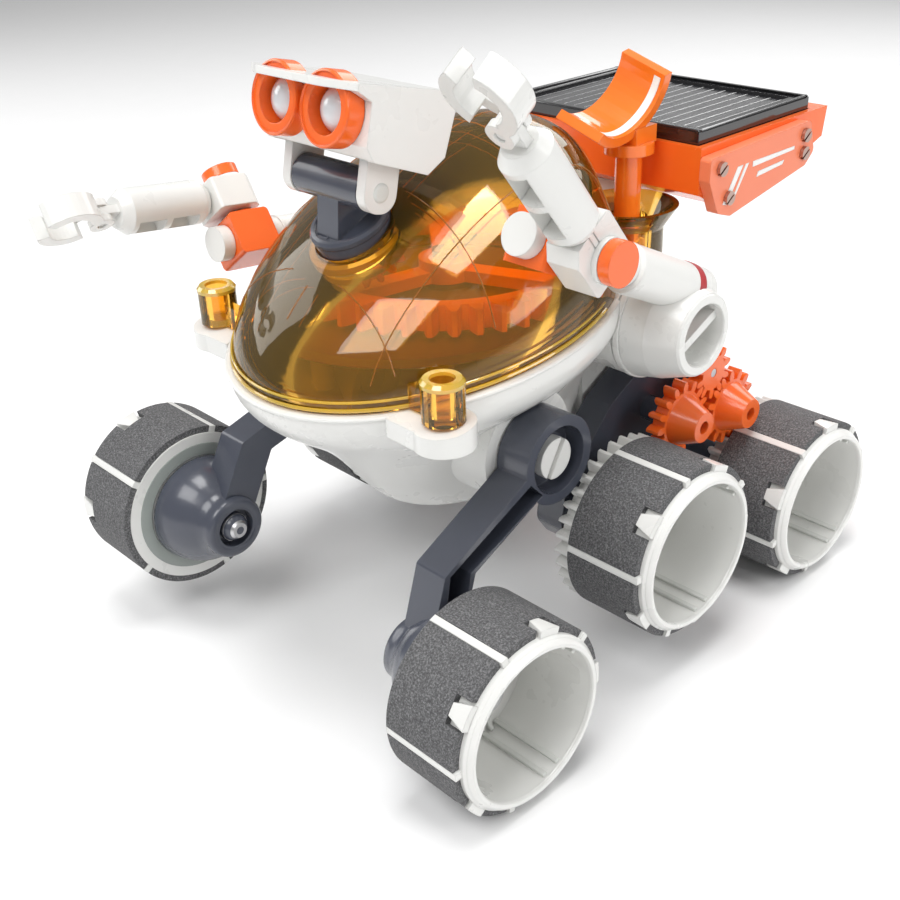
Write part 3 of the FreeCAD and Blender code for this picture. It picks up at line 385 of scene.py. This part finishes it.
def rim_arc(half_width, half_length, height, from_angle=-202, to_angle=22, steps=96):
    """Points along the hull's rim, round the front from one shoulder to the other."""
    angles = [math.radians(from_angle + (to_angle - from_angle) * k / steps) for k in range(steps + 1)]
    return [(half_width * math.cos(a), -5.4 + half_length * math.sin(a), height) for a in angles]


piece("dome_rim_beads", *joined(tube(rim_arc(38.0, 45.8, 0.9), 0.42), tube(rim_arc(37.9, 45.4, 2.5), 0.3)),
      "chassis", AMBER_EDGE, RIM_PLACE, "amber_clear")
piece("hull_rim_bead", *tube(rim_arc(39.2, 47.2, -0.5), 0.5), "chassis", WHITE, RIM_PLACE, "shell_white")
for prefix, side in SIDES:
    ring = lathe([(2.5, 0), (2.5, 0.7), (3.7, 0.8), (4.3, 0.1), (4.3, -0.6), (2.5, 0)])
    piece(prefix + "_lug_ring", *ring, "chassis", AMBER_EDGE, place(side * 36.2, -42.7, 82.15), "amber_clear")

# ---------------------------------------------------------------- wheels
# Name, side, inner face from the middle, axle y and z, and the turn of the ribs in degrees.
WHEELS = (("left_front", 1, 42.5, -47.0, 20.0, 20), ("right_front", -1, 42.5, -51.6, 27.6, 80),
          ("left_mid", 1, 38.4, 9.35, 29.75, 12), ("right_mid", -1, 38.4, 9.35, 29.75, 50),
          ("left_rear", 1, 38.4, 61.14, 20.01, 30), ("right_rear", -1, 38.4, 61.14, 20.01, 75))


def bar(inner_radius, outer_radius, half_width, low, high, angle):
    """A straight bar along the axle, standing on the drum wall."""
    verts, faces = prism([(inner_radius, -half_width), (outer_radius, -half_width),
                          (outer_radius, half_width), (inner_radius, half_width)], low, high)
    return moved((verts, faces), turned(angle, "Z"))


for name, side, inner, y, z, start in WHEELS:
    hub_place = place(side * inner, y, z, outward(side))
    body = name + "_wheel_body"
    lip = lathe([(16.1, 20.0), (16.35, 20.85), (17.1, 21.0), (17.65, 20.6), (18.0, 19.9), (16.1, 20.0)], 96)
    piece(name + "_rim_lip", *lip, body, WHITE, hub_place, "shell_white")
    # The ribs, spokes and step inside the drum take the darker white: painted shade.
    ribs = [bar(15.35, 16.3, 0.55, 2.3, 19.7, start + 120 * k + spread)
            for k in range(3) for spread in (-7, 7)]
    spokes = [bar(5.0, 16.0, 0.5, 2.1, 3.4, start + 60 * k) for k in range(6)]
    step = lathe([(9.4, 2.1), (9.4, 3.2), (10.4, 3.2), (10.4, 2.1), (9.4, 2.1)])
    piece(name + "_drum_ribs", *joined(*ribs, *spokes, step), body, WHITE_PAINTED_SHADE, hub_place, "shell_white",
          bevel=0.15)
    cap = lathe([(0.0, 8.95), (0.9, 8.9), (1.3, 8.4), (2.3, 8.3), (2.9, 7.6), (3.1, 6.9), (0.0, 6.9)], 32)
    if "front" not in name:
        piece(name + "_axle_cap", *cap, body, SLATE, hub_place, "slate_blue")
        continue
    back = lathe([(12.95, 0.02), (12.95, -0.22), (15.9, -0.22), (15.9, 0.02), (12.95, 0.02)])
    piece(name + "_wheel_back", *back, body, BACKING, hub_place, "shell_white")
    bell = lathe([(12.6, -0.42), (13.0, -0.9), (13.05, -1.9), (12.8, -3.6), (12.3, -5.4), (11.4, -7.4),
                  (10.1, -9.4), (8.7, -11.0), (7.8, -12.2), (7.5, -13.6), (7.4, -15.0), (6.9, -15.5),
                  (5.6, -15.6), (4.8, -15.2), (4.65, -13.2), (7.0, -12.0), (12.6, -0.42)], 96)
    arm_body = name + "_arm_body"
    piece(name + "_hub_bell", *bell, arm_body, SLATE, hub_place, "slate_blue", smooth=50)
    ball = lathe([(0.0, -17.1), (1.3, -16.9), (2.4, -16.2), (3.2, -15.2), (3.5, -14.0), (3.45, -12.9),
                  (0.0, -12.9)], 48)
    piece(name + "_axle_ball", *ball, arm_body, SLATE, hub_place, "slate_blue", smooth=60)

# ---------------------------------------------------------------- head and neck
HEAD_PLACE = place(0, -34.5, 110.6, turned(-13, "X"))
TURRET_PLACE = place(0, -32.4, 101.8, turned(25, "X"))
for prefix, side in SIDES:
    eye = lathe([(0.0, 2.3), (1.6, 2.15), (3.0, 1.6), (4.0, 0.7), (4.55, -0.5), (4.55, -1.8),
                 (0.0, -1.8)], 48)
    socket = HEAD_PLACE @ Matrix.Translation((side * 7.5, -8.2, 14.2)) @ turned(90, "X").to_4x4()
    piece(prefix + "_eye_dome", *eye, "head", LENS, socket, "shell_white", smooth=60)
    bead = lathe([(6.3, 3.0), (6.5, 3.5), (6.9, 3.3), (7.0, 2.6), (6.3, 3.0)], 64)
    piece(prefix + "_eye_bead", *bead, "head", ORANGE, socket, "orange_gloss")
    screw = lathe([(0.0, 0.5), (1.5, 0.45), (1.9, 0.1), (1.9, -0.3), (0.0, -0.3)], 32)
    ear = HEAD_PLACE @ Matrix.Translation((side * 12.5, 0, 0)) @ outward(side).to_4x4()
    # The ear pins take the darker white, painted shade.
    piece(prefix + "_ear_pin", *screw, "head", WHITE_PAINTED_SHADE, ear, "shell_white", bevel=0.1)
disc_edge = lathe([(7.0, 0.9), (7.2, 1.5), (8.0, 1.4), (8.5, 0.8), (8.45, -0.2), (7.0, 0.9)], 64)
arrow = ([(-2.1, -3.2, 0.95), (2.1, -3.2, 0.95), (0, -6.8, 0.95), (0, -4.4, 2.5)],
         [(0, 2, 1), (0, 1, 3), (1, 2, 3), (2, 0, 3)])
piece("neck_disc_edge", *disc_edge, "turret", SLATE, TURRET_PLACE, "slate_blue")
piece("neck_arrow", *arrow, "turret", SLATE, TURRET_PLACE, "slate_blue", bevel=0.12, smooth=10)
collar = lathe([(8.9, -4.4), (9.0, -3.0), (9.7, -2.7), (10.4, -3.2), (10.6, -4.6), (8.9, -4.4)], 64)
piece("dome_collar_bead", *collar, "chassis", AMBER_EDGE, TURRET_PLACE, "amber_clear")

# ---------------------------------------------------------------- deck, solar panel and side plates
deck_ring = lathe([(24.0, 80.7), (24.0, 82.2), (25.4, 82.2), (25.4, 80.7), (24.0, 80.7)], 96)
rib_at = place(0, -7, 0)
deck_ribs = [bar(9.0, 24.2, 0.7, 80.7, 81.8, 20 + 40 * k) for k in range(9)]
piece("deck_ribs", *joined(deck_ring, *deck_ribs), "chassis", CREAM, rib_at, "deck_tan", bevel=0.15)


def slab(low, high):
    (x0, y0, z0), (x1, y1, z1) = low, high
    return prism([(x0, y0), (x1, y0), (x1, y1), (x0, y1)], z0, z1)


cell = slab((-25.6, 45.6, 108.45), (25.6, 82.4, 108.6))
piece("solar_cell", *cell, "chassis", CELL, UNTURNED, "panel_black")
LINE_COUNT = 16
spacing = 48.6 / (LINE_COUNT - 1)
silver = [slab((-24.3 + spacing * k - 0.13, 46.2, 108.55), (-24.3 + spacing * k + 0.13, 81.8, 108.68))
          for k in range(LINE_COUNT)]
piece("solar_cell_lines", *joined(*silver), "chassis", SILVER, UNTURNED, "panel_black")
frame_edges = [slab((x0, y0, 109.2), (x1, y1, 109.75))
               for x0, y0, x1, y1 in ((-28.9, 42.3, 28.9, 43.4), (-28.9, 84.5, 28.9, 85.6),
                                      (-28.9, 43.4, -27.8, 84.5), (27.8, 43.4, 28.9, 84.5))]
piece("solar_frame_edge", *joined(*frame_edges), "chassis", BLACK, UNTURNED, "panel_black", bevel=0.3)

# Turning flat outlines of (y, z) so that they stand on the rover's sides.
SIDEWAYS = Matrix(((0, 0, 1), (1, 0, 0), (0, 1, 0)))
for prefix, side in SIDES:
    low, high = sorted((side * 33.88, side * 34.0))
    shapes = [[(45.6, 93.4), (47.2, 93.0), (52.6, 100.9), (50.6, 100.9)],
              [(48.8, 93.2), (49.6, 93.3), (54.8, 100.9), (53.6, 100.9)],
              [(56.4, 99.6), (73.2, 100.1), (73.2, 100.9), (56.4, 100.9)],
              [(58.2, 96.9), (68.6, 97.6), (69.2, 98.5), (58.8, 98.1)]]
    stripes = [prism(outline, low, high) for outline in shapes]
    piece(prefix + "_plate_stripes", *joined(*stripes), "chassis", WHITE_PRINT_AND_HIGHLIGHT, place(0, 0, 0, SIDEWAYS),
          "salmon")

# ---------------------------------------------------------------- robot arms
# Side name and sign, shoulder from the middle in millimetres, upper arm raised in degrees.
ARMS = (("left", 1, 41.0, 26.0), ("right", -1, 45.5, 5.5))
for prefix, side, out, pitch in ARMS:
    upper = place(side * out, 21, 74, turned(-pitch, "X"))
    along = upper @ Matrix.Translation((0, 0, 8.5)) @ turned(90, "X").to_4x4()
    body = prefix + "_upper_arm_body"
    band = lathe([(5.1, 1.5), (5.33, 1.5), (5.33, 3.8), (5.1, 3.8), (5.1, 1.5)], 64)
    piece(prefix + "_arm_band", *band, body, RED_PRINT, along, "shell_white")
    seam = lathe([(4.0, 23.4), (5.1, 23.3), (5.28, 23.9), (5.05, 24.6), (4.0, 24.8), (4.0, 23.4)], 64)
    tip = lathe([(4.0, 40.4), (4.3, 40.5), (4.3, 41.2), (4.0, 41.3), (4.0, 40.4)], 64)
    piece(prefix + "_arm_seams", *joined(seam, tip), body, WHITE, along, "shell_white")
    cup_edge = lathe([(12.7, -7.0), (13.0, -6.6), (12.9, -5.6), (12.5, -5.4), (12.7, -7.0)], 96)
    rim_edge = lathe([(6.8, 7.0), (7.0, 7.5), (8.6, 7.4), (9.1, 6.7), (9.0, 6.0), (6.8, 7.0)], 96)
    cup = upper @ outward(side).to_4x4()
    piece(prefix + "_shoulder_edges", *joined(cup_edge, rim_edge), body, WHITE, cup, "shell_white")

# ---------------------------------------------------------------- dish: painted highlight
# A white curved stripe inside the dish near its edge: a painted highlight.
dish_place = place(17.0, 26.6, 121.4, turned(17, "Y") @ SIDEWAYS)
verts, faces = [], []
for step in range(33):
    angle = math.radians(-6 + 128 * step / 32)
    for radius, across in ((10.02, 3.4), (10.02, 5.2), (10.14, 5.2), (10.14, 3.4)):
        verts.append((radius * math.cos(angle), -radius * math.sin(angle), across))
    if step:
        here, last = 4 * step, 4 * step - 4
        faces += [(last + k, last + (k + 1) % 4, here + (k + 1) % 4, here + k) for k in range(4)]
faces += [(3, 2, 1, 0), (128, 129, 130, 131)]
piece("dish_painted_highlight", verts, faces, "antenna", WHITE_PRINT_AND_HIGHLIGHT, dish_place, "orange_gloss")

# ---------------------------------------------------------------- floor, light, camera
floor_material = plastic("studio_floor", (0.90, 0.90, 0.90), (0.92, 0.92, 0.92), (0.6, 0.7), bump=0.0)
HALF_FLOOR = 3.0
floor_mesh = bpy.data.meshes.new("floor")
floor_corners = [(x * HALF_FLOOR, y * HALF_FLOOR, 0) for x, y in ((-1, -1), (1, -1), (1, 1), (-1, 1))]
floor_mesh.from_pydata(floor_corners, [], [(0, 1, 2, 3)])
floor_mesh.materials.append(floor_material)
floor = bpy.data.objects.new("floor", floor_mesh)
floor.location.z = -0.0002
scene.collection.objects.link(floor)


def softbox(name, where, target, width, height, watts):
    data = bpy.data.lights.new(name, "AREA")
    data.shape, data.size, data.size_y, data.energy = "RECTANGLE", width, height, watts
    lamp = bpy.data.objects.new(name, data)
    lamp.location = where
    lamp.rotation_euler = (Vector(target) - Vector(where)).to_track_quat("-Z", "Y").to_euler()
    scene.collection.objects.link(lamp)
    return lamp


softbox("top_light", (0.06, -0.04, 0.85), (0.06, -0.04, 0.1), 0.34, 0.34, 3.0)
softbox("key_light", (0.10, -0.55, 0.75), (0, 0, 0.06), 0.5, 0.4, 3.6)
softbox("left_light", (-0.75, -0.25, 0.45), (0, 0, 0.06), 0.5, 0.5, 2.2)
softbox("right_light", (0.75, 0.25, 0.45), (0, 0, 0.06), 0.4, 0.5, 2.4)
softbox("back_light", (-0.2, 0.7, 0.55), (0, 0, 0.08), 0.6, 0.4, 2.4)
world = bpy.data.worlds.new("studio")
scene.world = world
world.use_nodes = True
world.node_tree.nodes["Background"].inputs["Color"].default_value = (1.0, 1.0, 1.0, 1)
world.node_tree.nodes["Background"].inputs["Strength"].default_value = 0.38
scene.view_settings.view_transform = "Standard"

camera_data = bpy.data.cameras.new("camera")
camera_data.lens = 48.474
camera_data.sensor_width = 36.0
camera_data.clip_start = 0.01
camera = bpy.data.objects.new("camera", camera_data)
# The camera's right, up and backward directions are the columns.
camera_turn = Matrix(((0.691247, -0.322786, 0.646519),
                      (0.721699, 0.353492, -0.595142),
                      (-0.036436, 0.877982, 0.477304)))
camera_spot = Vector((183.354, -176.949 + ORIGIN_SHIFT, 176.106)) * MM
camera.matrix_world = Matrix.Translation(camera_spot) @ camera_turn.to_4x4()
scene.collection.objects.link(camera)
scene.camera = camera
